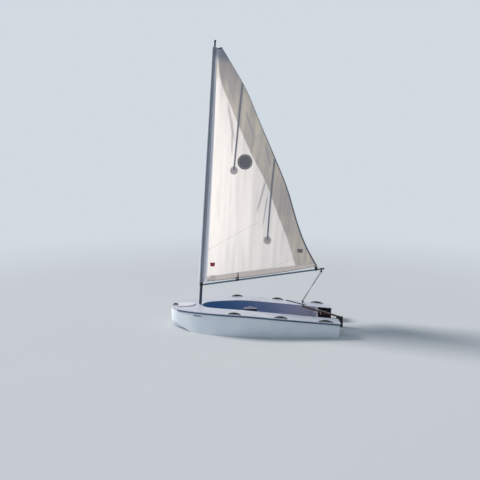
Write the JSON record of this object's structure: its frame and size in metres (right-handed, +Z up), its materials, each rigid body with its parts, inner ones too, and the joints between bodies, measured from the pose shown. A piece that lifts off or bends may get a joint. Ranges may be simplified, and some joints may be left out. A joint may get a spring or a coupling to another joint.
{
  "type": "catboat sailing dinghy",
  "caption": "Small open catboat with one unstayed leaning mast, sleeved triangular sail on a boom, round bow, open stern, hung rudder and lifting daggerboard.",
  "frame": {"origin": "on the centreline at the waterline, amidships, 1.52 m aft of the bow", "axes": "+X to the bow, +Y to port, +Z up"},
  "size_m": [3.2549, 1.49, 5.6792],
  "materials": {
    "hull_white": "smooth gelcoat, white in the sun and blue in the shade",
    "deck_white": "smooth gelcoat with a fine non-slip grain",
    "panel_white": "smooth gelcoat",
    "cockpit_white": "smooth gelcoat, pale grey-blue",
    "dark_strake": "dark blue-grey edge band",
    "black_handles": "black moulded grips",
    "black_fittings": "black moulded fittings",
    "dark_wood": "dark varnished mahogany",
    "tiller_wood": "dark varnished wood",
    "steel": "satin stainless steel",
    "dark_mast": "dark anodised tube",
    "grey_boom": "grey anodised tube",
    "sail_cloth": "thin white sailcloth",
    "black_rudder": "black painted",
    "board_white": "smooth white laminate"
  },
  "bodies": {
    "hull": {"hull": "hull_white", "deck": "deck_white", "cockpit_liner": "cockpit_white", "foredeck_panel": "panel_white", "mast_collar": "panel_white", "rub_strake_port": "dark_strake", "rub_strake_starboard": "dark_strake", "bow_handle": "black_handles", "bow_eye": "steel", "drain_plugs": "black_fittings", "daggerboard_case": "cockpit_white", "stern_lining_port": "dark_wood", "stern_lining_starboard": "dark_wood", "stern_rib_port": "panel_white", "stern_rib_starboard": "panel_white", "rudder_post": "panel_white", "rudder_gudgeon_lower": "steel", "rudder_gudgeon_upper": "steel", "traveller_eye": "steel", "deck_sheet_block": "black_fittings", "handle_port_fore": "black_handles", "handle_port_middle": "black_handles", "handle_port_aft": "black_handles", "handle_starboard_fore": "black_handles", "handle_starboard_middle": "black_handles", "handle_starboard_aft": "black_handles"},
    "rig": {"mast": "dark_mast", "mast_cap": "black_fittings", "luff_sleeve": "sail_cloth", "sail": "sail_cloth", "gooseneck": "black_fittings", "boom": "grey_boom", "boom_end_cap": "black_fittings", "boom_end_block": "black_fittings", "boom_middle_block": "black_fittings", "clew_fitting": "black_fittings"},
    "rudder": {"rudder_head": "black_rudder", "rudder_pintles": "steel", "blade_bolt": "steel", "tiller": "tiller_wood", "tiller_extension": "black_fittings"},
    "blade": {"rudder_blade": "black_rudder"},
    "daggerboard": {"daggerboard": "board_white", "daggerboard_handle": "dark_wood"}
  },
  "joints": [
    {"name": "rig_turn", "type": "hinge", "parent": "hull", "child": "rig", "pos_m": [0.974, 0, 0.41], "axis": [-0.0645, 0, 0.9979], "range_deg": [-93, 67]},
    {"name": "rudder_turn", "type": "hinge", "parent": "hull", "child": "rudder", "pos_m": [-1.534, 0, 0], "axis": [0, 0, 1], "range_deg": [-40, 40]},
    {"name": "blade_kick", "type": "hinge", "parent": "rudder", "child": "blade", "pos_m": [-1.608, 0, -0.014], "axis": [0, 1, 0], "range_deg": [0, 75]},
    {"name": "daggerboard_lift", "type": "slide", "parent": "hull", "child": "daggerboard", "axis": [0, 0, 1], "range_m": [0, 0.42]}
  ]
}
